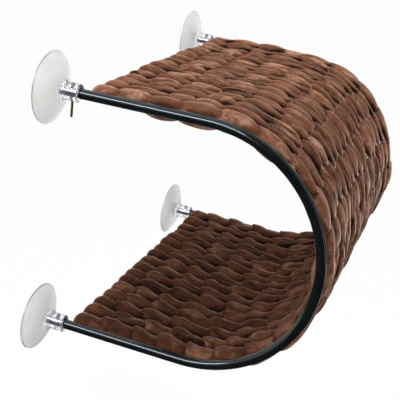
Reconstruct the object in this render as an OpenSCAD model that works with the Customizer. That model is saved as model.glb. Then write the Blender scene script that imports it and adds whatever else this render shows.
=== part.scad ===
// Window mounted cat perch: a C shaped berth of thick velvet cord woven round steel cross rods
// that run between two bent side tubes, held on the glass by four suction cups.
// X points away from the glass, Y runs across the perch, Z is up. The origin lies on the glass,
// at the middle of the four suction cups.

/* [Frame] */
// Width between the centrelines of the two side tubes
frame_w = 439; // [360:1:560]
// Height between the centrelines of the upper and the lower arm
arm_rise = 298; // [240:1:360]
// Straight length of an arm, from the tube's end to the start of the bend
arm_l = 155; // [120:1:220]
// Outside diameter of the side tubes
tube_d = 12; // [10:0.5:16]
// Wall of the side tubes
tube_wall = 1.2; // [0.8:0.1:1.6]
// Diameter of the cross rods
rod_d = 5; // [3:0.5:7]
// Number of cross rods along the berth
rod_count = 19; // [15:1:23]
// Bare length of tube in front of the first cross rod
rod_setback = 19; // [16:1:30]
// Height of the weld bead round each end of a cross rod, measured across the rod
bead_t = 1.2; // [0.6:0.1:2]
// Length of the weld bead along the cross rod
bead_l = 1.5; // [0.8:0.1:1.8]

/* [Velvet] */
// Number of woven rows across the berth
row_count = 17; // [13:1:21]
// Gap between neighbouring rows
row_gap = 0.6; // [0.4:0.1:1.2]
// Gap between the outer rows and the side tubes
edge_gap = 2; // [2:0.1:4]
// Radius of the round pinch between two lobes of a row
pinch_r = 18; // [12:1:24]
// Depth of the pinch between two lobes
pinch_depth = 5; // [2:0.1:6]
// Slant of the pinch, the lay of the two twined cords
lay_angle = 27; // [0:1:35]
// Room between the velvet and a cross rod
rod_clearance = 0.3; // [0.2:0.05:0.6]

/* [Suction cups] */
// Diameter of a suction cup
cup_d = 85; // [65:1:100]
// Rise of the dome's outer face over the glass
dome_rise = 15; // [12:0.5:17]
// Depth of the hollow under the dome
hollow_depth = 7; // [4:0.5:9]
// Thickness of the cup's edge
edge_t = 1.4; // [0.8:0.1:2.5]
// Width of the flat ring that meets the glass
land_w = 2.5; // [1.5:0.5:5]
// Distance from the glass to the neck's mouth
neck_reach = 37.8; // [35:0.2:46]
// Diameter of the neck
neck_d = 21.5; // [18:0.5:24]
// Chamfer round the neck's mouth
neck_chamfer = 0.8; // [0.4:0.1:1.5]
// Diameter of the collar at the neck's foot
collar_d = 26; // [25:0.5:32]
// Distance from the glass to the collar's face
collar_reach = 16.5; // [15.5:0.1:20]
// Diameter of the cross hole through the neck
neck_hole_d = 4.8; // [4:0.1:6]

/* [Spigots] */
// Diameter of the spigot in the neck
spigot_d = 7.6; // [6:0.1:8.6]
// Length of the spigot's nose, from its tip to the neck's mouth
nose_l = 24; // [20:0.5:25]
// Chamfer round the spigot's tip
spigot_chamfer = 0.6; // [0.2:0.1:1.2]
// Length of the spigot's shank in the side tube
shank_l = 16; // [10:0.5:25]
// Room round the spigot, all round, in the cup's bore
spigot_clearance = 0.05; // [0.02:0.01:0.1]
// Gap between the neck's mouth and the side tube's end
mouth_gap = 0.2; // [0.1:0.1:0.6]

/* [Lock pins] */
// Diameter of a lock pin
pin_d = 3; // [2:0.1:4]
// Length of a lock pin
pin_l = 40; // [26:1:50]
// Room round the lock pin, all round, in the spigot
pin_clearance = 0.08; // [0.04:0.01:0.1]
// Chamfer at both ends of a lock pin
pin_chamfer = 0.3; // [0.1:0.1:0.6]
// Distance from the neck's mouth back to the lock pins
pin_inset = 9.3; // [7:0.1:13]

/* [Hidden] */
$fn = 48;

// The bend is a half circle from the upper to the lower arm.
bend_r = arm_rise / 2;
// Each side tube starts just behind the mouth of its suction cups' necks.
tube_start = neck_reach + mouth_gap;
bend_x = tube_start + arm_l;
tube_bore = tube_d - 2 * tube_wall;
side_y = frame_w / 2;

// The cross rods are spread evenly along the path from the upper to the lower arm.
deck_straight = arm_l - rod_setback;
deck_l = 2 * deck_straight + PI * bend_r;
rod_pitch = deck_l / (rod_count - 1);
bead_d = rod_d + 2 * bead_t;

// The rows fill the width between the two side tubes.
deck_w = frame_w - tube_d - 2 * edge_gap;
row_pitch = (deck_w + row_gap) / row_count;
row_d = row_pitch - row_gap;
rod_hole = rod_d + 2 * rod_clearance;

// Both faces of the dome are parts of spheres, each through its own edge and its own crown.
dome_h = dome_rise - edge_t;
dome_r = (dome_h * dome_h + cup_d * cup_d / 4) / (2 * dome_h);
hollow_w = cup_d / 2 - land_w;
hollow_r = (hollow_depth * hollow_depth + hollow_w * hollow_w) / (2 * hollow_depth);
neck_bore = spigot_d + 2 * spigot_clearance;
// The nose's tip, the lock pins and the cross holes keep their place from the neck's mouth.
spigot_reach = neck_reach - nose_l;
pin_reach = neck_reach - pin_inset;
// The spigot's tip just clears the bottom of the bore in the neck.
bore_reach = spigot_reach - mouth_gap;
shank_d = tube_bore - 2 * spigot_clearance;

spigot_hole = pin_d + 2 * pin_clearance;
// The top of a lock pin is flush with the top of the neck.
pin_top = neck_d / 2;

// One run past both faces serves every cut.
overrun = 1;

// The four corners: name, side (-1 left, 1 right) and level (1 upper, -1 lower).
CORNERS = [["upper_left", -1, 1], ["upper_right", 1, 1], ["lower_left", -1, -1], ["lower_right", 1, -1]];
// Only the upper pair, which carries the pull, is locked by pins.
PINNED = [CORNERS[0], CORNERS[1]];

function two_digits(i) = i < 10 ? str("0", i) : str(i);

// Angle of the path, in degrees from straight up, at the length s from the first cross rod
function bend_angle(s) = max(0, min(180, (s - deck_straight) / bend_r * 180 / PI));
// Length before (negative) or after the bend at the same place
function straight_lead(s) = s - deck_straight - bend_angle(s) * PI / 180 * bend_r;

// Places children on the path of the arms, X along the path and Z outwards from the C
module on_path(s) {
    translate([bend_x, 0, 0])
        rotate([0, bend_angle(s), 0])
            translate([straight_lead(s), 0, bend_r])
                children();
}

// Sweeps a 2D section along the C, with straight arms of the given length
module c_sweep(straight_l) {
    for (level = [-1, 1])
        translate([bend_x - straight_l, 0, level * bend_r])
            rotate([90, 0, 90])
                linear_extrude(straight_l)
                    children();
    translate([bend_x, 0, 0])
        rotate([90, 0, 0])
            rotate([0, 0, -90])
                rotate_extrude(angle = 180)
                    translate([bend_r, 0])
                        rotate(90)
                            children();
}

// A cylinder across the perch, centred
module cross_bar(d, length) {
    rotate([90, 0, 0])
        cylinder(d = d, h = length, center = true);
}

module side_tube(side) {
    color([0.08, 0.09, 0.1])
        translate([0, side * side_y, 0])
            c_sweep(arm_l)
                difference() {
                    circle(d = tube_d);
                    circle(d = tube_bore);
                }
}

// The outside of one side tube, which the ends of the cross rods are coped to
module tube_outside(side) {
    translate([0, side * side_y, 0])
        c_sweep(arm_l)
            circle(d = tube_d);
}

// A round rod with a weld bead at each end, both coped to the side tubes
module cross_rod(i) {
    bead_start = side_y - tube_d / 2 - bead_l;
    color([0.1, 0.1, 0.11])
        difference() {
            on_path(i * rod_pitch) {
                cross_bar(rod_d, frame_w);
                for (side = [-1, 1])
                    translate([0, side * (bead_start + side_y) / 2, 0])
                        cross_bar(bead_d, side_y - bead_start);
            }
            for (side = [-1, 1])
                tube_outside(side);
        }
}

// The half ball that closes a row round its end rod
module row_end() {
    rotate([0, -90, 0])
        rotate_extrude()
            intersection() {
                circle(d = row_d);
                square(row_d);
            }
}

// Two velvet cords twined about the rods: one lobe over and one under each rod,
// with a slanted pinch on both faces between neighbouring lobes
module velvet_row(k) {
    row_y = -deck_w / 2 + row_d / 2 + k * row_pitch;
    pinch_out = row_d / 2 + pinch_r - pinch_depth;
    color([0.42, 0.27, 0.2])
        translate([0, row_y, 0])
            difference() {
                union() {
                    c_sweep(deck_straight)
                        circle(d = row_d);
                    for (level = [-1, 1])
                        translate([bend_x - deck_straight, 0, level * bend_r])
                            row_end();
                }
                for (i = [0 : rod_count - 2], face = [-1, 1])
                    on_path((i + 0.5) * rod_pitch)
                        translate([0, 0, face * pinch_out])
                            rotate([0, 0, face * lay_angle])
                                cross_bar(2 * pinch_r, 2 * row_d);
                for (i = [0 : rod_count - 1])
                    on_path(i * rod_pitch)
                        cross_bar(rod_hole, 2 * row_d);
            }
}

// Moves a part that is modelled along X from the glass to one of the four corners
module at_corner(corner) {
    translate([0, corner[1] * side_y, corner[2] * bend_r])
        children();
}

// A turned plug: its shank is pressed in the side tube and its nose fills the cup's neck
module spigot(corner) {
    nose_r = spigot_d / 2;
    color([0.78, 0.79, 0.82])
        at_corner(corner)
            difference() {
                rotate([90, 0, 90])
                    rotate_extrude()
                        polygon([
                            [0, spigot_reach],
                            [nose_r - spigot_chamfer, spigot_reach],
                            [nose_r, spigot_reach + spigot_chamfer],
                            [nose_r, tube_start],
                            [shank_d / 2, tube_start],
                            [shank_d / 2, tube_start + shank_l],
                            [0, tube_start + shank_l]
                        ]);
                translate([pin_reach, 0, 0])
                    cylinder(d = spigot_hole, h = spigot_d + overrun, center = true);
            }
}

// Half of the cup's section: radius along X, distance from the glass along Y
module cup_section() {
    neck_r = neck_d / 2;
    difference() {
        union() {
            intersection() {
                translate([0, dome_rise - dome_r])
                    circle(r = dome_r, $fn = 4 * $fn);
                square([cup_d / 2, dome_rise]);
            }
            square([cup_d / 2, edge_t]);
            square([collar_d / 2, collar_reach]);
            polygon([
                [0, 0],
                [neck_r, 0],
                [neck_r, neck_reach - neck_chamfer],
                [neck_r - neck_chamfer, neck_reach],
                [0, neck_reach]
            ]);
        }
        translate([0, hollow_depth - hollow_r])
            circle(r = hollow_r, $fn = 4 * $fn);
        translate([0, bore_reach])
            square([neck_bore / 2, neck_reach]);
    }
}

// A soft clear cup with a hollow dome, a blind bore for the spigot and a cross hole for the pin
module suction_cup(corner) {
    color([0.87, 0.87, 0.88, 0.6])
        at_corner(corner)
            difference() {
                rotate([90, 0, 90])
                    rotate_extrude($fn = 2 * $fn)
                        cup_section();
                translate([pin_reach, 0, 0])
                    cylinder(d = neck_hole_d, h = neck_d + overrun, center = true);
            }
}

// A plain brass pin with chamfered ends that locks a cup on its spigot
module lock_pin(corner) {
    pin_r = pin_d / 2;
    color([0.54, 0.5, 0.33])
        at_corner(corner)
            translate([pin_reach, 0, pin_top - pin_l])
                rotate_extrude()
                    polygon([
                        [0, 0],
                        [pin_r - pin_chamfer, 0],
                        [pin_r, pin_chamfer],
                        [pin_r, pin_l - pin_chamfer],
                        [pin_r - pin_chamfer, pin_l],
                        [0, pin_l]
                    ]);
}

side_tube(-1);  // side_tube_left
side_tube(1);  // side_tube_right
for (i = [1 : rod_count])
    cross_rod(i - 1);
for (i = [1 : row_count])
    velvet_row(i - 1);
for (c = CORNERS)
    spigot(c);
for (c = CORNERS)
    suction_cup(c);
for (c = PINNED)
    lock_pin(c);
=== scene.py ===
import math

import bmesh
import bpy
import numpy as np
from mathutils import Matrix, Vector


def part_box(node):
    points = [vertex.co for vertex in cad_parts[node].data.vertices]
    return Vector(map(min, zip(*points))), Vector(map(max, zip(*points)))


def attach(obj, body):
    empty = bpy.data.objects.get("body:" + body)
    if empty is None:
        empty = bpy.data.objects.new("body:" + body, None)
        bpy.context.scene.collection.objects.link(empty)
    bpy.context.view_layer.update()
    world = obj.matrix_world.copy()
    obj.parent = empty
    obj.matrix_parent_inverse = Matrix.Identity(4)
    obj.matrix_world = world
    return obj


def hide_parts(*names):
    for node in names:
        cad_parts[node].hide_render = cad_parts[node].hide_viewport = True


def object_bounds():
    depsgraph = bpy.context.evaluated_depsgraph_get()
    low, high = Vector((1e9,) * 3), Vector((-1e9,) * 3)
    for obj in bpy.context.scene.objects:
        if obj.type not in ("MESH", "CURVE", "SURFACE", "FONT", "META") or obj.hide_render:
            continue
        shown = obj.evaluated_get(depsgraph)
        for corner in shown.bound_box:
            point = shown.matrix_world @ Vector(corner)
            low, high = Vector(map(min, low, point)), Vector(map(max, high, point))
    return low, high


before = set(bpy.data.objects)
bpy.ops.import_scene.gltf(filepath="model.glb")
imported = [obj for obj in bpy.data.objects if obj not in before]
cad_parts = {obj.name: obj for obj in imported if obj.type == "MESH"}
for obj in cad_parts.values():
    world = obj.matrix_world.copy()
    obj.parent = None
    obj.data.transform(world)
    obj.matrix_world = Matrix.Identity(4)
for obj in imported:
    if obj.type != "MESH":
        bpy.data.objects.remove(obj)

CAD_LOW, CAD_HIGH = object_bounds()
MM = 0.001

# The frame gives the sizes that the dressed pieces keep to
tube_low, tube_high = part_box("side_tube_left")
rod_low, rod_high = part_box("cross_rod_01")
row_low, row_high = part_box("velvet_row_01")
CORNERS = ["upper_left", "upper_right", "lower_left", "lower_right"]
ROD_COUNT = sum(name.startswith("cross_rod_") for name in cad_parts)
ROW_COUNT = sum(name.startswith("velvet_row_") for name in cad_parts)

tube_radius = (tube_high.y - tube_low.y) / 2
bend_radius = tube_high.z - tube_radius
bend_x = tube_high.x - tube_radius - bend_radius
first_rod_x = (rod_low.x + rod_high.x) / 2
deck_straight = bend_x - first_rod_x
path_length = 2 * deck_straight + math.pi * bend_radius
rod_pitch = path_length / (ROD_COUNT - 1)
first_row_y = (row_low.y + row_high.y) / 2
row_pitch = -2 * first_row_y / (ROW_COUNT - 1)

# The camera stands where the photograph was taken from
CAMERA_AT = Vector((0.4596, -1.0354, 0.3924))
CAMERA_AZIMUTH = math.radians(17.99)
CAMERA_ELEVATION = math.radians(21.26)
CAMERA_ROLL = math.radians(7.306)
CAMERA_LENS = 74.46
CAMERA_SENSOR = 36.0

# Name, place, size, power and colour of each soft box that lights the perch
SOFT_BOXES = (("overhead", (0.3, 0.2, 2.2), (0.5, 0.4), 54.0, "#f2f8ff"),
              ("right", (2.2, -0.4, 1.2), (0.9, 0.9), 12.0, "#fff4ea"),
              ("front", (-1.2, -1.6, 1.1), (0.7, 0.7), 23.5, "#fff0e2"))
# The same for the box whose mirror image is the streak along the enamel
STREAK_BOX = ("streak", (-0.75, -1.9, 1.42), (2.1, 0.42), 70.0, "#dfe9ff")
# The light that the white surround throws on the perch, as a share of what the camera sees of it
SURROUND_FILL = 0.09
FLOOR_SIZE = 60.0
# How far the floor lies below the perch, and the share of plain white in how it looks
FLOOR_DROP = 0.35
FLOOR_WHITE = 0.97
# The black card: its two ends in Y, the top of the end that is turned up, how far it reaches to -X
CARD_NEAR, CARD_FAR, CARD_TOP, CARD_REACH = 0.45, -3.2, 0.4, 2.0
CARD_ABOVE_FLOOR = 0.02
# The card's hood: its two sides in X, its back in Y, its top in Z, and the two edges of its slot in Y
HOOD_LEFT, HOOD_RIGHT, HOOD_BACK, HOOD_TOP = 0.35, 2.4, 2.0, 2.6
HOOD_SLOT = (-0.6, 0.2)

# Stuffed velvet cords, twined in pairs about the cross rods. A ring is one section across a cord,
# a lobe is what shows of it between two crossings, and a spread is one standard deviation
SEED = 20
RING_STEP = 2.7 * MM
CORD_SIDES = 60
WRAP_RINGS = 10
ROW_CLEARANCE = 0.02 * MM
# A cord's direction at a ring is taken from this many rings before it to as many after it
AIM_RINGS = 2
LOBE_TRACKS = ("width", "thick", "rise", "sway", "roll", "tone",
               "fold_1", "fold_2", "fold_3", "depth_1", "depth_2", "depth_3")
RING_SIZES = ("width", "up", "down", "gather", "low", "high", "fold_1", "fold_1_depth",
              "fold_2", "fold_2_depth", "fold_3", "fold_3_depth")
SPREAD_LIMIT = 1.8

# A cord's way: over and under the rods, from side to side between them, and round the end rods
TWINE_RISE = 3.0 * MM
RISE_SPREAD = 0.12
RISE_POWER = 0.8
TWINE_SWAY = 4.2 * MM
SWAY_SPREAD = 0.7 * MM
TWINE_SKEW = 0.5
TWINE_LAG = 0.18
TWINE_OFFSET = 0.45
ROLL_SPREAD = 0.16
CROSS_SHIFT = 6.0 * MM
SHIFT_LIMIT = 1.6
END_SLIP = 6.0 * MM
WRAP_REACH = 4.4 * MM

# A cord's half width and its thickness on the side that shows, at a lobe's crown and at a crossing
CROWN_WIDTH = 13.5 * MM
CROWN_THICK = 8.4 * MM
CROWN_POWER = 0.7
CROSS_WIDTH = 10.8 * MM
CROSS_THICK = 8.8 * MM
WIDTH_SPREAD = 0.12
THICK_SPREAD = 0.18
# The thickness on the hidden side of a crown, which is more in the two outer rows
UNDER_THICK = 2.4 * MM
EDGE_UNDER = 5.2 * MM

# How unevenly two rows meet, and how far the near and the far row bulge past their share of the deck
CONTACT_STRAY = 1.4 * MM
EDGE_BULGE = 5.0 * MM
FAR_BULGE = 6.4 * MM
# How steeply a cord goes over from the contact lines on one face to those on the other
FACE_CHANGE = 3
# The share of a row's half width that its neighbours don't press flat
FREE_SHARE = 0.77
# How much wider and thicker the near row, the last but one and the far row are
NEAR_LIFT = 1.0 * MM
SECOND_LIFT = 2.4 * MM
FAR_LIFT = 5.0 * MM
# The share of that which goes into thickness at a crossing, and how much less it is at a crown
CROSS_LIFT_SHARE = 1.15
CROWN_LIFT_LOSS = 0.65

# Folds along a lobe, as angles from the middle of the side that shows, and as depths
FOLD_PLACES = (-0.62, 0.02, 0.6)
PLACE_SPREAD = 0.22
FOLD_LEAN = 0.8
FOLD_WIDTH = 0.21
FOLD_ROUND = 0.08
FOLD_DEPTH = 1.6 * MM
DEPTH_MEAN, DEPTH_SPREAD, DEPTH_LIMIT = 0.5, 0.6, 1.3
OUTER_CREASED = 0.3
# Wrinkles all over and gathers at the crossings: their depths, and how close they lie along and round
# the cord
WRINKLE_DEPTH = 0.3 * MM
GATHER_DEPTH = 0.6 * MM
WRINKLES_ALONG = 55.0
WRINKLES_ROUND = 2.6
WRINKLE_WIDTH = 0.1

# The tone of a lobe, and the shade painted into it in its creases, at its ends and where two rows touch
TONE_MEAN = 0.5
TONE_SPREAD = 0.38
PAINTED_END_SHADE = 0.75
FULLY_SHADED_DENT = 3.4 * MM
CONTACT_SHADE_SLOPE, CONTACT_SHADE_START, CONTACT_SHADE_POWER = 1.3, -0.55, 1.5
# What each of these adds to the place on the velvet's colour ramp
PATCH_WEIGHT, TONE_WEIGHT, PAINTED_SHADE_WEIGHT, TUFT_WEIGHT = 0.6, 0.22, -0.48, 0.16

# The vinyl goes from milky to clear between these distances from the glass
MILKY_UP_TO, CLEAR_FROM = 14.0 * MM, 19.0 * MM
# How much its flow marks vary its haze
FLOW_HAZE = 0.02


def linear(value):
    """An sRGB hex colour as linear RGBA."""
    channels = [int(value[i:i + 2], 16) / 255 for i in (1, 3, 5)]
    return [c / 12.92 if c <= 0.04045 else ((c + 0.055) / 1.055) ** 2.4 for c in channels] + [1.0]


def add_node(tree, kind, inputs=(), **settings):
    """Adds a node, sets its settings, and links or sets its inputs."""
    node = tree.nodes.new(kind)
    for name, value in settings.items():
        setattr(node, name, value)
    for key, value in dict(inputs).items():
        if isinstance(value, bpy.types.Node):
            tree.links.new(value.outputs[0], node.inputs[key])
        elif isinstance(value, bpy.types.NodeSocket):
            tree.links.new(value, node.inputs[key])
        else:
            node.inputs[key].default_value = value
    return node


def new_material(name, inputs):
    """A material with a Principled shader that has these inputs, and its tree and shader."""
    material = bpy.data.materials.new(name)
    material.use_nodes = True
    tree = material.node_tree
    tree.nodes.clear()
    shader = add_node(tree, "ShaderNodeBsdfPrincipled", inputs)
    add_node(tree, "ShaderNodeOutputMaterial", {"Surface": shader.outputs["BSDF"]})
    return material, tree, shader


def set_ramp(node, stops):
    """Sets a colour ramp's stops from (position, hex colour) pairs."""
    elements = node.color_ramp.elements
    while len(elements) < len(stops):
        elements.new(1.0)
    for element, (position, colour) in zip(elements, stops):
        element.position = position
        element.color = linear(colour)


def velvet_material():
    """Crushed polyester velvet: a short pile that lies in patches, dull in front, bright at the edges."""
    material, tree, shader = new_material("brown_crushed_velvet", {
        "Roughness": 0.8, "Specular IOR Level": 0.1, "Sheen Weight": 1.0, "Sheen Roughness": 0.36,
        "Sheen Tint": linear("#ecc9b4")})
    place = add_node(tree, "ShaderNodeTexCoord").outputs["Object"]
    tone = add_node(tree, "ShaderNodeAttribute", attribute_name="tone").outputs["Fac"]
    painted_shade = add_node(tree, "ShaderNodeAttribute", attribute_name="painted_shade").outputs["Fac"]
    # Patches of pile that lean another way, about 12 mm across
    patch = add_node(tree, "ShaderNodeTexNoise",
                     {"Vector": place, "Scale": 80.0, "Detail": 3.0, "Roughness": 0.55,
                      "Distortion": 0.6}).outputs["Fac"]
    # The pile's own tufts would be 0.3 mm; they are drawn 1 mm so that the render shows them
    tuft = add_node(tree, "ShaderNodeTexNoise",
                    {"Vector": place, "Scale": 900.0, "Detail": 2.0}).outputs["Fac"]
    # The place on the ramp also holds painted shade, in the creases, where two rows touch and at the ends
    # of each lobe
    tone_and_painted_shade = add_node(tree, "ShaderNodeMath", {0: patch, 1: PATCH_WEIGHT}, operation="MULTIPLY")
    for source, weight in ((tone, TONE_WEIGHT), (painted_shade, PAINTED_SHADE_WEIGHT), (tuft, TUFT_WEIGHT)):
        tone_and_painted_shade = add_node(tree, "ShaderNodeMath", {0: source, 1: weight, 2: tone_and_painted_shade},
                        operation="MULTIPLY_ADD")
    ramp = add_node(tree, "ShaderNodeValToRGB", {"Fac": tone_and_painted_shade})
    set_ramp(ramp, [(0.1, "#261005"), (0.46, "#6f4631"), (0.74, "#b88e77")])
    tree.links.new(ramp.outputs["Color"], shader.inputs["Base Color"])
    bump = add_node(tree, "ShaderNodeBump", {"Height": tuft, "Strength": 0.25, "Distance": 0.4 * MM})
    bump = add_node(tree, "ShaderNodeBump",
                    {"Height": patch, "Strength": 0.3, "Distance": 1.5 * MM, "Normal": bump})
    tree.links.new(bump.outputs["Normal"], shader.inputs["Normal"])
    return material


def enamel_material():
    """Black stoved enamel on steel tube: glossy, with faint orange peel from the spraying."""
    material, tree, shader = new_material("black_stoved_enamel", {"IOR": 1.5})
    place = add_node(tree, "ShaderNodeTexCoord").outputs["Object"]
    # Orange peel with bumps about 2.4 mm apart, and patches of 17 mm where the gloss changes a little
    peel = add_node(tree, "ShaderNodeTexNoise", {"Vector": place, "Scale": 420.0, "Detail": 2.0})
    dust = add_node(tree, "ShaderNodeTexNoise", {"Vector": place, "Scale": 60.0, "Detail": 6.0})
    ramp = add_node(tree, "ShaderNodeValToRGB", {"Fac": dust.outputs["Fac"]})
    set_ramp(ramp, [(0.3, "#0e1314"), (0.75, "#191f20")])
    tree.links.new(ramp.outputs["Color"], shader.inputs["Base Color"])
    gloss = add_node(tree, "ShaderNodeMapRange",
                     {"Value": dust.outputs["Fac"], "To Min": 0.08, "To Max": 0.15})
    tree.links.new(gloss.outputs["Result"], shader.inputs["Roughness"])
    bump = add_node(tree, "ShaderNodeBump",
                    {"Height": peel.outputs["Fac"], "Strength": 0.05, "Distance": 0.1 * MM})
    tree.links.new(bump.outputs["Normal"], shader.inputs["Normal"])
    return material


def chrome_material():
    """Bright chrome plate on turned steel: a mirror with the lathe's fine rings left in it."""
    material, tree, shader = new_material("turned_chrome_plate", {"Metallic": 1.0})
    place = add_node(tree, "ShaderNodeTexCoord").outputs["Object"]
    # The lathe's rings would be 0.1 mm apart; they are drawn 0.75 mm apart so that a render can show them
    rings = add_node(tree, "ShaderNodeTexWave", {"Vector": place, "Scale": 420.0, "Distortion": 0.4},
                     wave_type="BANDS", bands_direction="X")
    # Patches about 3 mm across where the plate is a little duller, as from handling
    haze = add_node(tree, "ShaderNodeTexNoise", {"Vector": place, "Scale": 300.0, "Detail": 4.0})
    gloss = add_node(tree, "ShaderNodeMapRange",
                     {"Value": haze.outputs["Fac"], "To Min": 0.06, "To Max": 0.16})
    tree.links.new(gloss.outputs["Result"], shader.inputs["Roughness"])
    bump = add_node(tree, "ShaderNodeBump",
                    {"Height": rings.outputs["Fac"], "Strength": 0.08, "Distance": 0.05 * MM})
    tree.links.new(bump.outputs["Normal"], shader.inputs["Normal"])
    tint = add_node(tree, "ShaderNodeValToRGB", {"Fac": haze.outputs["Fac"]})
    set_ramp(tint, [(0.2, "#a2a9ba"), (0.8, "#c3c9d8")])
    tree.links.new(tint.outputs["Color"], shader.inputs["Base Color"])
    return material


def brass_material():
    """Dull yellow passivated pin: olive brass with a satin drawn finish."""
    material, tree, shader = new_material("passivated_brass", {"Metallic": 1.0, "Roughness": 0.34})
    place = add_node(tree, "ShaderNodeTexCoord").outputs["Object"]
    # Wire drawing leaves lines 0.1 mm wide along the pin; here they are 1 mm, so that a render shows them
    stretch = add_node(tree, "ShaderNodeMapping", {"Vector": place, "Scale": (900.0, 900.0, 60.0)})
    drawn = add_node(tree, "ShaderNodeTexNoise", {"Vector": stretch, "Scale": 1.0, "Detail": 3.0})
    ramp = add_node(tree, "ShaderNodeValToRGB", {"Fac": drawn.outputs["Fac"]})
    set_ramp(ramp, [(0.25, "#837846"), (0.75, "#b3a66c")])
    tree.links.new(ramp.outputs["Color"], shader.inputs["Base Color"])
    bump = add_node(tree, "ShaderNodeBump",
                    {"Height": drawn.outputs["Fac"], "Strength": 0.15, "Distance": 0.05 * MM})
    tree.links.new(bump.outputs["Normal"], shader.inputs["Normal"])
    return material


def vinyl_material():
    """Clear soft vinyl, moulded: the thick neck is clear as glass, the thin dome is milky and satin."""
    material, tree, shader = new_material("clear_soft_vinyl", {"IOR": 1.45})
    place = add_node(tree, "ShaderNodeTexCoord").outputs["Object"]
    along = add_node(tree, "ShaderNodeSeparateXYZ", {"Vector": place})
    neck_share = add_node(tree, "ShaderNodeMapRange",
                          {"Value": along.outputs["X"], "From Min": MILKY_UP_TO, "From Max": CLEAR_FROM},
                          interpolation_type="SMOOTHSTEP")
    # Flow marks from the mould, about 22 mm apart
    flow = add_node(tree, "ShaderNodeTexNoise", {"Vector": place, "Scale": 45.0, "Detail": 4.0})
    milk = add_node(tree, "ShaderNodeValToRGB", {"Fac": flow.outputs["Fac"]})
    set_ramp(milk, [(0.3, "#faf9f6"), (0.7, "#fefefd")])
    # Seen edge on, the neck is painted a faint lavender grey, as painted shade along its edges
    edge = add_node(tree, "ShaderNodeLayerWeight", {"Blend": 0.5}).outputs["Facing"]
    neck = add_node(tree, "ShaderNodeValToRGB", {"Fac": edge})
    set_ramp(neck, [(0.25, "#fafafc"), (0.85, "#8e8ba6")])
    clear = add_node(tree, "ShaderNodeMix", {"Factor": neck_share}, data_type="RGBA")
    tree.links.new(milk.outputs["Color"], clear.inputs["A"])
    tree.links.new(neck.outputs["Color"], clear.inputs["B"])
    tree.links.new(clear.outputs["Result"], shader.inputs["Base Color"])
    passing = add_node(tree, "ShaderNodeMapRange",
                       {"Value": neck_share, "To Min": 0.87, "To Max": 0.96})
    tree.links.new(passing.outputs["Result"], shader.inputs["Transmission Weight"])
    haze = add_node(tree, "ShaderNodeMapRange", {"Value": neck_share, "To Min": 0.3, "To Max": 0.0})
    haze = add_node(tree, "ShaderNodeMath",
                    {0: flow.outputs["Fac"], 1: FLOW_HAZE, 2: haze.outputs["Result"]},
                    operation="MULTIPLY_ADD")
    tree.links.new(haze.outputs["Value"], shader.inputs["Roughness"])
    bump = add_node(tree, "ShaderNodeBump",
                    {"Height": flow.outputs["Fac"], "Strength": 0.1, "Distance": 0.3 * MM})
    tree.links.new(bump.outputs["Normal"], shader.inputs["Normal"])
    return material


def dress(node, material):
    """Gives a CAD node its finish."""
    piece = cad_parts[node]
    piece.data.materials.clear()
    piece.data.materials.append(material)


def lobe_track(values, along):
    """One value per lobe, drawn out along the row and faded from one lobe into the next."""
    place = np.clip(along / rod_pitch, 0, len(values) - 1)
    before = np.floor(place).astype(int)
    after = np.minimum(before + 1, len(values) - 1)
    fade = np.sin((place - before) * math.pi / 2) ** 2
    return values[before] * (1 - fade) + values[after] * fade


def row_plan(row):
    """What one row does along its length: where its cords cross, how full each lobe is."""
    rng = np.random.default_rng(SEED + row)
    run = np.linspace(0, path_length, int(path_length / RING_STEP) + 1)
    # The crossings between the lobes lie unevenly, so that neighbouring rows interlock
    slip = rng.normal(0, 1, ROD_COUNT).clip(-SHIFT_LIMIT, SHIFT_LIMIT) * CROSS_SHIFT
    slip[[0, -1]] = 0
    # The first and the last lobes are drawn out round the end rods
    slip[1] -= END_SLIP
    slip[-2] += END_SLIP
    phase = np.pi * (run + lobe_track(slip, run)) / rod_pitch - TWINE_OFFSET
    # A lobe swells slowly, ends plump and lies over the slender start of the next one
    phase = phase + TWINE_SKEW * np.sin(phase) ** 2
    wave = np.cos(phase)
    # One set of tracks for the run out, and one for the run back
    lobes = []
    for _ in range(2):
        values = {name: rng.normal(0, 1, ROD_COUNT).clip(-SPREAD_LIMIT, SPREAD_LIMIT)
                  for name in LOBE_TRACKS}
        lobes.append({name: lobe_track(values[name], run) for name in values})
    # The outer rows are less creased, and the far one stands fuller, up over its side tube
    outer = row in (0, ROW_COUNT - 1)
    lifts = {0: NEAR_LIFT, ROW_COUNT - 2: SECOND_LIFT, ROW_COUNT - 1: FAR_LIFT}
    return dict(run=run, phase=phase, wave=wave, crown=np.abs(wave) ** CROWN_POWER, lobes=lobes,
                lift=lifts.get(row, 0.0), creased=OUTER_CREASED if outer else 1.0,
                under=EDGE_UNDER if outer else UNDER_THICK)


def contact_lines(plans):
    """Where neighbouring rows touch on the upper and the lower face, from halfway between them."""
    rng = np.random.default_rng(SEED)
    run = plans[0]["run"]
    lines = np.zeros((2, ROW_COUNT + 1, len(run)))
    for face, sign in enumerate((1, -1)):
        reach = []
        for plan in plans:
            out, back = plan["lobes"]
            shown = np.where(sign * plan["wave"] > 0, out["width"], back["width"])
            full = CROWN_WIDTH * (1 + WIDTH_SPREAD * shown)
            half = CROSS_WIDTH + TWINE_SWAY + (full - CROSS_WIDTH - TWINE_SWAY) * plan["crown"]
            middle = -sign * TWINE_SWAY * np.sin(2 * plan["phase"]) / 2
            reach.append((middle - half, middle + half))
        for row in range(1, ROW_COUNT):
            meet = (reach[row - 1][1] + reach[row][0]) / 2
            stray = rng.uniform(-1, 1, ROD_COUNT) * CONTACT_STRAY
            lines[face, row] = meet + lobe_track(stray, run)
        lines[face, 0] = -EDGE_BULGE
        lines[face, -1] = FAR_BULGE
    return lines


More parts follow.
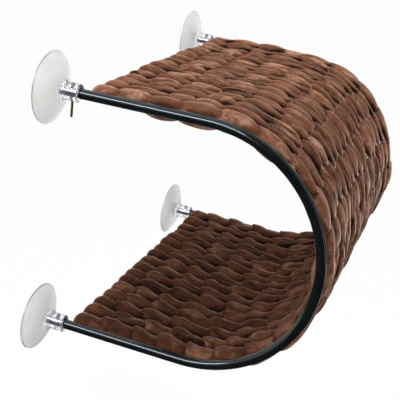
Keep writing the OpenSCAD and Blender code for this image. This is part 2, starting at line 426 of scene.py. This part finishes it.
def end_turn(one, two, centre, reach):
    """The half turn round an end rod, from the last ring of one run to the first of the next."""
    turn = np.linspace(0, math.pi, WRAP_RINGS + 2)[1:-1]
    share = (1 - np.cos(turn)) / 2
    bridge = {name: one[name][-1] * (1 - share) + two[name][0] * share for name in one}
    bridge["s"] = centre + reach * np.sin(turn)
    bridge["h"] = one["h"][-1] * np.cos(turn)
    return bridge


def twined_loop(plan, low_lines, high_lines):
    """The rings of one row's cord, as arrays: out over and under the rods, round the last and back."""
    run, phase, wave, crown = plan["run"], plan["phase"], plan["wave"], plan["crown"]
    # Sway and folds die away over the last half pitch before an end rod
    settle = np.clip(np.minimum(run, path_length - run) / (rod_pitch / 2), 0, 1)
    settle = settle * settle * (3 - 2 * settle)
    rings = []
    for way, track in zip((1, -1), plan["lobes"]):
        on_top = 0.5 + 0.5 * np.clip(way * wave * FACE_CHANGE, -1, 1)
        low = low_lines[0] * on_top + low_lines[1] * (1 - on_top)
        high = high_lines[0] * on_top + high_lines[1] * (1 - on_top)
        rise = TWINE_RISE * (1 + RISE_SPREAD * track["rise"])
        lagging = np.cos(phase - TWINE_LAG)
        height = way * rise * np.sign(lagging) * np.abs(lagging) ** RISE_POWER
        sway = -way * TWINE_SWAY * np.sin(phase) * settle + (low + high) / 2 * crown
        sway = sway + SWAY_SPREAD * track["sway"]
        full = CROWN_WIDTH * (1 + WIDTH_SPREAD * track["width"])
        width = CROSS_WIDTH + (full - CROSS_WIDTH) * crown
        width = width + plan["lift"]
        thick = CROWN_THICK * (1 + THICK_SPREAD * track["thick"])
        lifted = plan["lift"] * (CROSS_LIFT_SHARE - CROWN_LIFT_LOSS * crown)
        outer = CROSS_THICK + (thick - CROSS_THICK) * crown + lifted
        inner = CROSS_THICK + (plan["under"] - CROSS_THICK) * crown
        # The second run goes back, so its outward side is still the one away from the rod
        shown = np.where(wave > 0, math.pi / 2, 3 * math.pi / 2)
        drift = (phase / math.pi - np.round(phase / math.pi)) * np.where(wave > 0, 1, -1) * way
        # A lobe's tone drops towards its ends, as painted shade where it dips under the next lobe
        ring = dict(
            s=run, h=height, y=sway, width=width, low=low, high=high,
            up=np.where(wave > 0, outer, inner), down=np.where(wave > 0, inner, outer),
            roll=ROLL_SPREAD * track["roll"] * crown,
            gather=WRINKLE_DEPTH + (GATHER_DEPTH - WRINKLE_DEPTH) * (1 - crown),
            tone=TONE_MEAN + TONE_SPREAD * track["tone"] - PAINTED_END_SHADE * (1 - crown) ** 2)
        for number, place in enumerate(FOLD_PLACES, 1):
            stray = PLACE_SPREAD * track[f"fold_{number}"]
            ring[f"fold_{number}"] = shown + place + stray + FOLD_LEAN * drift
            fullness = np.clip(DEPTH_MEAN + DEPTH_SPREAD * track[f"depth_{number}"], 0, DEPTH_LIMIT)
            ring[f"fold_{number}_depth"] = FOLD_DEPTH * plan["creased"] * crown * fullness * settle
        rings.append(ring)
    out, back = rings
    back = {name: values[::-1] for name, values in back.items()}
    far = end_turn(out, back, path_length, WRAP_REACH)
    near = end_turn(back, out, 0.0, -WRAP_REACH)
    return {name: np.concatenate([out[name], far[name], back[name], near[name]]) for name in out}


def ring_frames(loop):
    """Each ring's centre, and the two directions across the cord there."""
    points = np.stack([loop["s"], loop["y"], loop["h"]], 1)
    ahead = np.roll(points, -AIM_RINGS, 0) - np.roll(points, AIM_RINGS, 0)
    ahead /= np.linalg.norm(ahead, axis=1)[:, None]
    across = np.array([0.0, 1.0, 0.0]) - ahead * ahead[:, 1:2]
    across /= np.linalg.norm(across, axis=1)[:, None]
    out = np.cross(ahead, across)
    cosine, sine = np.cos(loop["roll"])[:, None], np.sin(loop["roll"])[:, None]
    return points, across * cosine + out * sine, out * cosine - across * sine


def ring_path(name, loop):
    """A closed line of rings with the cord's sizes stored on its points, for the sweep to read."""
    points, across, out = ring_frames(loop)
    count = len(points)
    mesh = bpy.data.meshes.new(name)
    mesh.from_pydata(points.tolist(), [(i, (i + 1) % count) for i in range(count)], [])
    for label, vectors in (("centre", points), ("across", across), ("outward", out)):
        layer = mesh.attributes.new(label, "FLOAT_VECTOR", "POINT")
        layer.data.foreach_set("vector", vectors.astype(np.float32).ravel())
    for label in RING_SIZES + ("tone",):
        layer = mesh.attributes.new(label, "FLOAT", "POINT")
        layer.data.foreach_set("value", loop[label].astype(np.float32))
    return bpy.data.objects.new(name, mesh)


def cord_tree():
    """Sweeps a stuffed cord along its rings, presses it between its neighbours, bends it round the C."""
    tree = bpy.data.node_groups.new("stuffed_cord", "GeometryNodeTree")
    interface = tree.interface
    interface.new_socket("Geometry", in_out="INPUT", socket_type="NodeSocketGeometry")
    for name in ("Row Place", "Row Half Width", "Straight", "Bend Radius", "Bend Start", "Free Side"):
        interface.new_socket(name, in_out="INPUT", socket_type="NodeSocketFloat")
    for name in ("Sides", "Seed"):
        interface.new_socket(name, in_out="INPUT", socket_type="NodeSocketInt")
    interface.new_socket("Material", in_out="INPUT", socket_type="NodeSocketMaterial")
    interface.new_socket("Geometry", in_out="OUTPUT", socket_type="NodeSocketGeometry")
    given = add_node(tree, "NodeGroupInput").outputs
    stored = {}
    for label in RING_SIZES + ("turn",):
        stored[label] = add_node(tree, "GeometryNodeInputNamedAttribute", {"Name": label},
                                 data_type="FLOAT").outputs["Attribute"]
    for label in ("centre", "across", "outward"):
        stored[label] = add_node(tree, "GeometryNodeInputNamedAttribute", {"Name": label},
                                 data_type="FLOAT_VECTOR").outputs["Attribute"]

    # The section is a circle whose points carry their angle round the cord
    circle = add_node(tree, "GeometryNodeCurvePrimitiveCircle",
                      {"Resolution": given["Sides"], "Radius": MM})
    index = add_node(tree, "GeometryNodeInputIndex")
    step = add_node(tree, "ShaderNodeMath", {0: 2 * math.pi, 1: given["Sides"]}, operation="DIVIDE")
    angle = add_node(tree, "ShaderNodeMath", {0: index, 1: step}, operation="MULTIPLY")
    section = add_node(tree, "GeometryNodeStoreNamedAttribute",
                       {"Geometry": circle.outputs["Curve"], "Name": "turn", "Value": angle},
                       data_type="FLOAT", domain="POINT")
    line = add_node(tree, "GeometryNodeMeshToCurve", {"Mesh": given["Geometry"]})
    tube = add_node(tree, "GeometryNodeCurveToMesh", {"Curve": line, "Profile Curve": section})

    # A lens shaped section, thicker on the side that shows
    cosine = add_node(tree, "ShaderNodeMath", {0: stored["turn"]}, operation="COSINE")
    sine = add_node(tree, "ShaderNodeMath", {0: stored["turn"]}, operation="SINE")
    above = add_node(tree, "ShaderNodeMath", {0: sine, 1: 0.0}, operation="GREATER_THAN")
    thick = add_node(tree, "ShaderNodeMix", {"Factor": above, "A": stored["down"], "B": stored["up"]},
                     data_type="FLOAT")
    reach_y = add_node(tree, "ShaderNodeMath", {0: cosine, 1: stored["width"]}, operation="MULTIPLY")
    reach_h = add_node(tree, "ShaderNodeMath", {0: sine, 1: thick}, operation="MULTIPLY")
    side_arm = add_node(tree, "ShaderNodeVectorMath", {0: stored["across"], "Scale": reach_y},
                        operation="SCALE")
    out_arm = add_node(tree, "ShaderNodeVectorMath", {0: stored["outward"], "Scale": reach_h},
                       operation="SCALE")
    arm = add_node(tree, "ShaderNodeVectorMath", {0: side_arm, 1: out_arm}, operation="ADD")
    arm_length = add_node(tree, "ShaderNodeVectorMath", {0: arm}, operation="LENGTH").outputs["Value"]

    # Folds run along the lobes, each a valley with sides that level out and a slightly rounded bottom
    dent = 0.0
    for label in ("fold_1", "fold_2", "fold_3"):
        off = add_node(tree, "ShaderNodeMath", {0: stored["turn"], 1: stored[label]},
                       operation="SUBTRACT")
        off = add_node(tree, "ShaderNodeMath", {0: off, 1: off, 2: FOLD_ROUND ** 2},
                       operation="MULTIPLY_ADD")
        off = add_node(tree, "ShaderNodeMath", {0: off}, operation="SQRT")
        off = add_node(tree, "ShaderNodeMath",
                       {0: off, 1: -1 / FOLD_WIDTH, 2: FOLD_ROUND / FOLD_WIDTH},
                       operation="MULTIPLY_ADD")
        valley = add_node(tree, "ShaderNodeMath", {0: off}, operation="EXPONENT")
        dent = add_node(tree, "ShaderNodeMath", {0: valley, 1: stored[label + "_depth"], 2: dent},
                        operation="MULTIPLY_ADD")
    # A wrinkle is a narrow valley along each line where the noise is at its middle value
    centre_x = add_node(tree, "ShaderNodeSeparateXYZ", {0: stored["centre"]}).outputs["X"]
    along = add_node(tree, "ShaderNodeMath", {0: centre_x, 1: WRINKLES_ALONG}, operation="MULTIPLY")
    round_y = add_node(tree, "ShaderNodeMath", {0: cosine, 1: WRINKLES_ROUND}, operation="MULTIPLY")
    round_h = add_node(tree, "ShaderNodeMath", {0: sine, 1: WRINKLES_ROUND}, operation="MULTIPLY")
    noise_at = add_node(tree, "ShaderNodeCombineXYZ", {"X": round_y, "Y": round_h, "Z": along})
    wrinkle = add_node(tree, "ShaderNodeTexNoise",
                       {"Vector": noise_at, "W": given["Seed"], "Scale": 1.0, "Detail": 1.5},
                       noise_dimensions="4D")
    wrinkle = add_node(tree, "ShaderNodeMath", {0: wrinkle, 1: 0.5}, operation="SUBTRACT")
    wrinkle = add_node(tree, "ShaderNodeMath", {0: wrinkle}, operation="ABSOLUTE")
    wrinkle = add_node(tree, "ShaderNodeMapRange",
                       {"Value": wrinkle, "From Max": WRINKLE_WIDTH, "To Min": 1.0, "To Max": 0.0},
                       interpolation_type="SMOOTHSTEP").outputs["Result"]
    dent = add_node(tree, "ShaderNodeMath", {0: wrinkle, 1: stored["gather"], 2: dent},
                    operation="MULTIPLY_ADD")
    # How much shade to paint in the creases, from the depth of the folds and wrinkles
    crease_shade = add_node(tree, "ShaderNodeMapRange",
                      {"Value": dent, "From Max": FULLY_SHADED_DENT}).outputs["Result"]
    share = add_node(tree, "ShaderNodeMath", {0: dent, 1: arm_length}, operation="DIVIDE")
    share = add_node(tree, "ShaderNodeMath", {0: 1.0, 1: share}, operation="SUBTRACT")
    arm = add_node(tree, "ShaderNodeVectorMath", {0: arm, "Scale": share}, operation="SCALE")
    flat = add_node(tree, "ShaderNodeVectorMath", {0: stored["centre"], 1: arm}, operation="ADD")
    flat = add_node(tree, "ShaderNodeSeparateXYZ", {0: flat}).outputs

    # Neighbouring rows press each other flat where they touch
    pair = add_node(tree, "ShaderNodeMath", {0: stored["low"], 1: stored["high"]}, operation="ADD")
    middle = add_node(tree, "ShaderNodeMath", {0: pair, 1: 0.5}, operation="MULTIPLY")
    gap = add_node(tree, "ShaderNodeMath", {0: stored["high"], 1: stored["low"]}, operation="SUBTRACT")
    half = add_node(tree, "ShaderNodeMath", {0: gap, 1: 0.5, 2: given["Row Half Width"]},
                    operation="MULTIPLY_ADD")
    away = add_node(tree, "ShaderNodeMath", {0: flat["Y"], 1: middle}, operation="SUBTRACT")
    away = add_node(tree, "ShaderNodeMath", {0: away, 1: half}, operation="DIVIDE")
    size = add_node(tree, "ShaderNodeMath", {0: away}, operation="ABSOLUTE")
    side = add_node(tree, "ShaderNodeMath", {0: away}, operation="SIGN")
    past = add_node(tree, "ShaderNodeMath", {0: size, 1: FREE_SHARE}, operation="SUBTRACT")
    past = add_node(tree, "ShaderNodeMath", {0: past, 1: 0.0}, operation="MAXIMUM")
    past = add_node(tree, "ShaderNodeMath", {0: past, 1: 1 - FREE_SHARE}, operation="DIVIDE")
    past = add_node(tree, "ShaderNodeMath", {0: past}, operation="TANH")
    free = add_node(tree, "ShaderNodeMath", {0: size, 1: FREE_SHARE}, operation="MINIMUM")
    held = add_node(tree, "ShaderNodeMath", {0: past, 1: 1 - FREE_SHARE, 2: free},
                    operation="MULTIPLY_ADD")
    held = add_node(tree, "ShaderNodeMath", {0: held, 1: side}, operation="MULTIPLY")
    lateral = add_node(tree, "ShaderNodeMath", {0: held, 1: half, 2: middle}, operation="MULTIPLY_ADD")
    place_y = add_node(tree, "ShaderNodeMath", {0: lateral, 1: given["Row Place"]}, operation="ADD")

    # Shade is painted into the pile in its creases and where two rows touch, but not at a free side
    contact_shade = add_node(tree, "ShaderNodeMath", {0: size, 1: CONTACT_SHADE_SLOPE, 2: CONTACT_SHADE_START},
                       operation="MULTIPLY_ADD")
    contact_shade = add_node(tree, "ShaderNodeClamp", {"Value": contact_shade})
    contact_shade = add_node(tree, "ShaderNodeMath", {0: contact_shade, 1: CONTACT_SHADE_POWER}, operation="POWER")
    bare = add_node(tree, "ShaderNodeMath", {0: side, 1: given["Free Side"]}, operation="MULTIPLY")
    bare = add_node(tree, "ShaderNodeMath", {0: bare, 1: 0.0}, operation="GREATER_THAN")
    touched = add_node(tree, "ShaderNodeMath", {0: 1.0, 1: bare}, operation="SUBTRACT")
    contact_shade = add_node(tree, "ShaderNodeMath", {0: contact_shade, 1: touched}, operation="MULTIPLY")
    painted_shade = add_node(tree, "ShaderNodeMath", {0: crease_shade, 1: contact_shade}, operation="MAXIMUM")

    # The flat row is bent round the C: straight, half circle, straight
    beyond = add_node(tree, "ShaderNodeMath", {0: flat["X"], 1: given["Straight"]}, operation="SUBTRACT")
    bend = add_node(tree, "ShaderNodeMath", {0: beyond, 1: given["Bend Radius"]}, operation="DIVIDE")
    bend = add_node(tree, "ShaderNodeClamp", {"Value": bend, "Min": 0.0, "Max": math.pi})
    bent = add_node(tree, "ShaderNodeMath", {0: bend, 1: given["Bend Radius"]}, operation="MULTIPLY")
    lead = add_node(tree, "ShaderNodeMath", {0: beyond, 1: bent}, operation="SUBTRACT")
    radius = add_node(tree, "ShaderNodeMath", {0: flat["Z"], 1: given["Bend Radius"]}, operation="ADD")
    bend_sine = add_node(tree, "ShaderNodeMath", {0: bend}, operation="SINE")
    bend_cosine = add_node(tree, "ShaderNodeMath", {0: bend}, operation="COSINE")
    place_x = add_node(tree, "ShaderNodeMath", {0: lead, 1: bend_cosine, 2: given["Bend Start"]},
                       operation="MULTIPLY_ADD")
    place_x = add_node(tree, "ShaderNodeMath", {0: radius, 1: bend_sine, 2: place_x},
                       operation="MULTIPLY_ADD")
    drop = add_node(tree, "ShaderNodeMath", {0: lead, 1: bend_sine}, operation="MULTIPLY")
    rise = add_node(tree, "ShaderNodeMath", {0: radius, 1: bend_cosine}, operation="MULTIPLY")
    place_z = add_node(tree, "ShaderNodeMath", {0: rise, 1: drop}, operation="SUBTRACT")
    place = add_node(tree, "ShaderNodeCombineXYZ", {"X": place_x, "Y": place_y, "Z": place_z})
    # The painted shade is stored on the points, for the velvet's colour to read
    marked = add_node(tree, "GeometryNodeStoreNamedAttribute",
                      {"Geometry": tube, "Name": "painted_shade", "Value": painted_shade},
                      data_type="FLOAT", domain="POINT")
    shaped = add_node(tree, "GeometryNodeSetPosition", {"Geometry": marked, "Position": place})
    smooth = add_node(tree, "GeometryNodeSetShadeSmooth", {"Geometry": shaped})
    whole = add_node(tree, "GeometryNodeRealizeInstances", {"Geometry": smooth})
    dressed = add_node(tree, "GeometryNodeSetMaterial",
                       {"Geometry": whole, "Material": given["Material"]})
    add_node(tree, "NodeGroupOutput", {0: dressed})
    return tree


def run_tree(source, tree, inputs, name):
    """Runs a tree on an object and returns the result as a plain mesh object."""
    bpy.context.scene.collection.objects.link(source)
    modifier = source.modifiers.new("shape", "NODES")
    modifier.node_group = tree
    sockets = {item.name: item.identifier for item in tree.interface.items_tree
               if item.in_out == "INPUT"}
    for label, value in inputs.items():
        modifier[sockets[label]] = value
    shown = source.evaluated_get(bpy.context.evaluated_depsgraph_get())
    mesh = bpy.data.meshes.new_from_object(shown)
    mesh.name = name
    source.modifiers.remove(modifier)
    bpy.data.objects.remove(source)
    piece = bpy.data.objects.new(name, mesh)
    bpy.context.scene.collection.objects.link(piece)
    return piece


def face_outwards(piece):
    """Turns every face of a closed mesh outwards."""
    shape = bmesh.new()
    shape.from_mesh(piece.data)
    bmesh.ops.recalc_face_normals(shape, faces=shape.faces)
    shape.to_mesh(piece.data)
    shape.free()


def weave(material):
    """The rows of velvet, each a closed loop of cord twined about the cross rods."""
    tree = cord_tree()
    plans = [row_plan(row) for row in range(ROW_COUNT)]
    lines = contact_lines(plans)
    free_sides = {0: -1.0, ROW_COUNT - 1: 1.0}
    for row, plan in enumerate(plans):
        name = f"velvet_cords_{row + 1:02d}"
        loop = twined_loop(plan, lines[:, row], lines[:, row + 1])
        piece = run_tree(ring_path(name + "_rings", loop), tree, {
            "Row Place": first_row_y + row * row_pitch,
            "Row Half Width": row_pitch / 2 - ROW_CLEARANCE,
            "Straight": deck_straight, "Bend Radius": bend_radius, "Bend Start": bend_x,
            "Free Side": free_sides.get(row, 0.0),
            "Sides": CORD_SIDES, "Seed": SEED + row, "Material": material}, name)
        face_outwards(piece)
        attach(piece, "perch")
        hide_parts(f"velvet_row_{row + 1:02d}")


def camera():
    """The photograph's camera."""
    data = bpy.data.cameras.new("camera")
    data.lens = CAMERA_LENS
    data.sensor_width = CAMERA_SENSOR
    ahead = Vector((-math.sin(CAMERA_AZIMUTH) * math.cos(CAMERA_ELEVATION),
                    math.cos(CAMERA_AZIMUTH) * math.cos(CAMERA_ELEVATION),
                    -math.sin(CAMERA_ELEVATION)))
    level = ahead.cross(Vector((0, 0, 1))).normalized()
    upright = level.cross(ahead)
    right = level * math.cos(CAMERA_ROLL) + upright * math.sin(CAMERA_ROLL)
    up = upright * math.cos(CAMERA_ROLL) - level * math.sin(CAMERA_ROLL)
    holder = bpy.data.objects.new("camera", data)
    turn = Matrix((right, up, -ahead)).transposed()
    holder.matrix_world = Matrix.Translation(CAMERA_AT) @ turn.to_4x4()
    bpy.context.scene.collection.objects.link(holder)
    bpy.context.scene.camera = holder


def soft_box(name, at, size, power, colour):
    """A studio soft box that faces the perch."""
    data = bpy.data.lights.new(name, "AREA")
    data.shape = "RECTANGLE"
    data.size, data.size_y = size
    data.energy = power
    data.color = linear(colour)[:3]
    lamp = bpy.data.objects.new(name, data)
    lamp.location = at
    aim = (CAD_LOW + CAD_HIGH) / 2 - Vector(at)
    lamp.rotation_euler = aim.to_track_quat("-Z", "Y").to_euler()
    bpy.context.scene.collection.objects.link(lamp)
    return lamp


def looks_past(tree):
    """A node that is 1 for what the camera sees past the perch, also in a mirror or through vinyl."""
    path = add_node(tree, "ShaderNodeLightPath").outputs
    seen = add_node(tree, "ShaderNodeMath", {0: path["Is Camera Ray"], 1: path["Is Glossy Ray"]},
                    operation="MAXIMUM")
    return add_node(tree, "ShaderNodeMath", {0: seen, 1: path["Is Transmission Ray"]},
                    operation="MAXIMUM")


def surround():
    """A surround that looks white and gives the perch only a little light."""
    world = bpy.data.worlds.new("surround")
    bpy.context.scene.world = world
    world.use_nodes = True
    tree = world.node_tree
    tree.nodes.clear()
    glow = add_node(tree, "ShaderNodeMapRange",
                    {"Value": looks_past(tree), "To Min": SURROUND_FILL, "To Max": 1.0})
    sky = add_node(tree, "ShaderNodeBackground", {"Color": linear("#ffffff"), "Strength": glow})
    add_node(tree, "ShaderNodeOutputWorld", {"Surface": sky})


def pale_floor(level):
    """A floor of pale paint that looks as white as the surround."""
    bpy.ops.mesh.primitive_plane_add(size=FLOOR_SIZE, location=(0, 0, level))
    floor = bpy.context.active_object
    floor.name = "floor"
    material, tree, shader = new_material("pale_floor",
                                          {"Base Color": linear("#f2f2f0"), "Roughness": 0.9})
    share = add_node(tree, "ShaderNodeMath", {0: looks_past(tree), 1: FLOOR_WHITE},
                     operation="MULTIPLY")
    white = add_node(tree, "ShaderNodeEmission", {"Color": linear("#ffffff"), "Strength": 1.0})
    mixed = add_node(tree, "ShaderNodeMixShader", {0: share, 1: shader.outputs["BSDF"], 2: white})
    tree.links.new(mixed.outputs["Shader"], tree.nodes["Material Output"].inputs["Surface"])
    floor.data.materials.append(material)


def black_card(level):
    """A card of black paper that glows a dim grey, seen only in the gloss of enamel and chrome as a
    painted reflection.

    It lies in front and turns up at its far edge, so that they show a dark underside. At the right it
    goes on as a hood over the bend, with a slot that leaves a thin light along the tube.
    """
    sheets = [[(-CARD_REACH, CARD_NEAR, level), (HOOD_RIGHT, CARD_NEAR, level),
               (HOOD_RIGHT, CARD_FAR, level), (-CARD_REACH, CARD_FAR, level)],
              [(-CARD_REACH, CARD_FAR, level), (HOOD_LEFT, CARD_FAR, level),
               (HOOD_LEFT, CARD_FAR, CARD_TOP), (-CARD_REACH, CARD_FAR, CARD_TOP)],
              [(HOOD_LEFT, CARD_FAR, level), (HOOD_RIGHT, CARD_FAR, level),
               (HOOD_RIGHT, CARD_FAR, HOOD_TOP), (HOOD_LEFT, CARD_FAR, HOOD_TOP)]]
    for near, far in ((CARD_FAR, HOOD_SLOT[0]), (HOOD_SLOT[1], HOOD_BACK)):
        sheets.append([(HOOD_RIGHT, near, level), (HOOD_RIGHT, far, level),
                       (HOOD_RIGHT, far, HOOD_TOP), (HOOD_RIGHT, near, HOOD_TOP)])
        sheets.append([(HOOD_LEFT, near, HOOD_TOP), (HOOD_LEFT, far, HOOD_TOP),
                       (HOOD_RIGHT, far, HOOD_TOP), (HOOD_RIGHT, near, HOOD_TOP)])
    corners = [corner for sheet in sheets for corner in sheet]
    shape = bpy.data.meshes.new("black_card")
    shape.from_pydata(corners, [], [range(i, i + 4) for i in range(0, len(corners), 4)])
    card = bpy.data.objects.new("black_card", shape)
    bpy.context.scene.collection.objects.link(card)
    # Its dim grey glow sets how dark the painted reflection is
    material, tree, shader = new_material("black_card", {
        "Base Color": linear("#05070c"), "Roughness": 1.0,
        "Emission Color": linear("#26282f"), "Emission Strength": 1.0})
    depth = add_node(tree, "ShaderNodeLightPath").outputs["Glossy Depth"]
    mirrored = add_node(tree, "ShaderNodeMath", {0: depth, 1: 0.5}, operation="GREATER_THAN")
    clear = add_node(tree, "ShaderNodeBsdfTransparent")
    mixed = add_node(tree, "ShaderNodeMixShader", {0: mirrored, 1: clear, 2: shader.outputs["BSDF"]})
    tree.links.new(mixed.outputs["Shader"], tree.nodes["Material Output"].inputs["Surface"])
    card.data.materials.append(material)
    card.visible_camera = False
    card.visible_diffuse = False
    card.visible_shadow = False


def studio():
    """Soft boxes for what is dull, one more for what is glossy, surround, floor and card."""
    for box in SOFT_BOXES:
        soft_box(*box).visible_glossy = False
    soft_box(*STREAK_BOX).visible_diffuse = False
    surround()
    floor_level = CAD_LOW.z - FLOOR_DROP
    pale_floor(floor_level)
    black_card(floor_level + CARD_ABOVE_FLOOR)


enamel = enamel_material()
chrome = chrome_material()
vinyl = vinyl_material()
brass = brass_material()
for side in ("left", "right"):
    dress("side_tube_" + side, enamel)
for rod in range(ROD_COUNT):
    dress(f"cross_rod_{rod + 1:02d}", enamel)
for corner in CORNERS:
    dress("spigot_" + corner, chrome)
    dress("suction_cup_" + corner, vinyl)
for corner in CORNERS[:2]:
    dress("lock_pin_" + corner, brass)
weave(velvet_material())
camera()
studio()

view = bpy.context.scene.view_settings
view.view_transform = "Standard"
bpy.context.view_layer.update()
